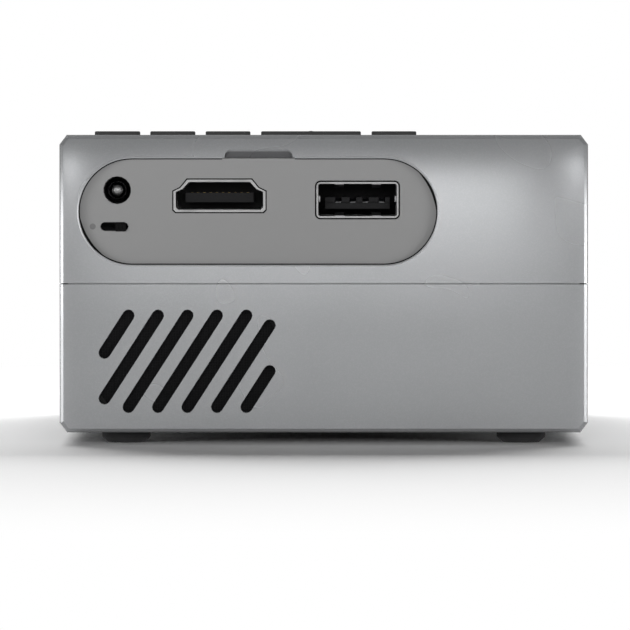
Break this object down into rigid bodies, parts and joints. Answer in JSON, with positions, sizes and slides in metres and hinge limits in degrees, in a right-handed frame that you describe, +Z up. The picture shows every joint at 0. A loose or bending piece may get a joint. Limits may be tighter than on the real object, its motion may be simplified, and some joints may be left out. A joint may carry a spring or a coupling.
{
  "type": "portable projector",
  "caption": "Box-shaped pocket projector with a front focusing lens, a row of top keys, an inset rear connector panel and slanted speaker slots.",
  "frame": {"origin": "on the table under the middle of the object's box", "axes": "+Z up; -Y out of the connector face; +Y out of the lens; +X to the right seen from behind"},
  "size_m": [0.0848, 0.117, 0.0502],
  "materials": {
    "painted_shell": "satin metallic grey paint on moulded shells",
    "panel_plastic": "fine matt grey",
    "key_plastic": "matt black",
    "black_plastic": "moulded black",
    "lens_plastic": "matt black, ribbed grip",
    "rubber": "dark grey rubber",
    "steel": "plated sheet steel",
    "brass": "turned brass",
    "aluminium": "extruded, plain",
    "glass": "coated optical glass",
    "panel_glass": "polariser-covered panel",
    "board": "green solder mask",
    "white_board": "white solder mask on aluminium",
    "emitter": "yellow phosphor under clear resin",
    "cloth": "black dust cloth",
    "jack_plastic": "grey moulded barrel",
    "window": "dark infrared-passing plastic",
    "battery_wrap": "blue shrink film"
  },
  "bodies": {
    "base": {"upper_shell": "painted_shell", "lower_shell": "painted_shell", "infrared_window": "window", "tripod_insert": "brass", "foot_1": "rubber", "foot_2": "rubber", "foot_3": "rubber", "foot_4": "rubber", "case_screw_1": "steel", "case_screw_2": "steel", "case_screw_3": "steel", "case_screw_4": "steel", "key_board": "board", "port_panel": "panel_plastic", "main_board": "board", "processor_chip": "black_plastic", "power_coil": "black_plastic", "hdmi_shell": "steel", "hdmi_tongue": "black_plastic", "usb_shell": "steel", "usb_tongue": "black_plastic", "dc_inlet": "black_plastic", "dc_pin": "steel", "switch_frame": "steel", "audio_jack": "jack_plastic", "card_slot": "steel", "speaker_cloth": "cloth", "speaker_frame": "black_plastic", "speaker_cone": "cloth", "speaker_magnet": "steel", "battery_pack": "battery_wrap", "heat_sink": "aluminium", "fan_frame": "black_plastic", "lens_bezel": "lens_plastic", "engine_housing": "black_plastic", "heat_glass": "glass", "fresnel_lens_rear": "glass", "lcd_panel": "panel_glass", "fresnel_lens_front": "glass", "condenser_lens": "glass", "led_board": "white_board", "led_emitter": "emitter"},
    "key_power": {"key_power": "key_plastic"},
    "key_source": {"key_source": "key_plastic"},
    "key_previous": {"key_previous": "key_plastic"},
    "key_ok": {"key_ok": "key_plastic"},
    "key_next": {"key_next": "key_plastic"},
    "switch_knob": {"switch_knob": "black_plastic"},
    "focus_ring": {"focus_ring": "lens_plastic"},
    "lens_barrel": {"lens_barrel": "lens_plastic", "front_lens": "glass", "middle_lens": "glass", "rear_lens": "glass"},
    "fan_rotor": {"fan_rotor": "black_plastic"}
  },
  "joints": [
    {"name": "key_power_press", "type": "slide", "parent": "base", "child": "key_power", "axis": [0, 0, -1], "range_m": [0, 0.00025], "stiffness_N_per_m": 1500},
    {"name": "key_source_press", "type": "slide", "parent": "base", "child": "key_source", "axis": [0, 0, -1], "range_m": [0, 0.00025], "stiffness_N_per_m": 1500},
    {"name": "key_previous_press", "type": "slide", "parent": "base", "child": "key_previous", "axis": [0, 0, -1], "range_m": [0, 0.00025], "stiffness_N_per_m": 1500},
    {"name": "key_ok_press", "type": "slide", "parent": "base", "child": "key_ok", "axis": [0, 0, -1], "range_m": [0, 0.00025], "stiffness_N_per_m": 1500},
    {"name": "key_next_press", "type": "slide", "parent": "base", "child": "key_next", "axis": [0, 0, -1], "range_m": [0, 0.00025], "stiffness_N_per_m": 1500},
    {"name": "switch_slide", "type": "slide", "parent": "base", "child": "switch_knob", "axis": [-1, 0, 0], "range_m": [0, 0.002]},
    {"name": "focus_turn", "type": "hinge", "parent": "base", "child": "focus_ring", "pos_m": [0.013, 0.05, 0.02577], "axis": [0, 1, 0], "range_deg": [-75, 75]},
    {"name": "barrel_slide", "type": "slide", "parent": "base", "child": "lens_barrel", "axis": [0, 1, 0], "range_m": [-0.002, 0.002]},
    {"name": "fan_spin", "type": "hinge", "parent": "base", "child": "fan_rotor", "pos_m": [0.036, -0.0358, 0.02577], "axis": [1, 0, 0], "continuous": true}
  ],
  "couplings": [
    {"joint": "focus_turn", "follows": "barrel_slide", "rad_per_m": 654.49}
  ]
}
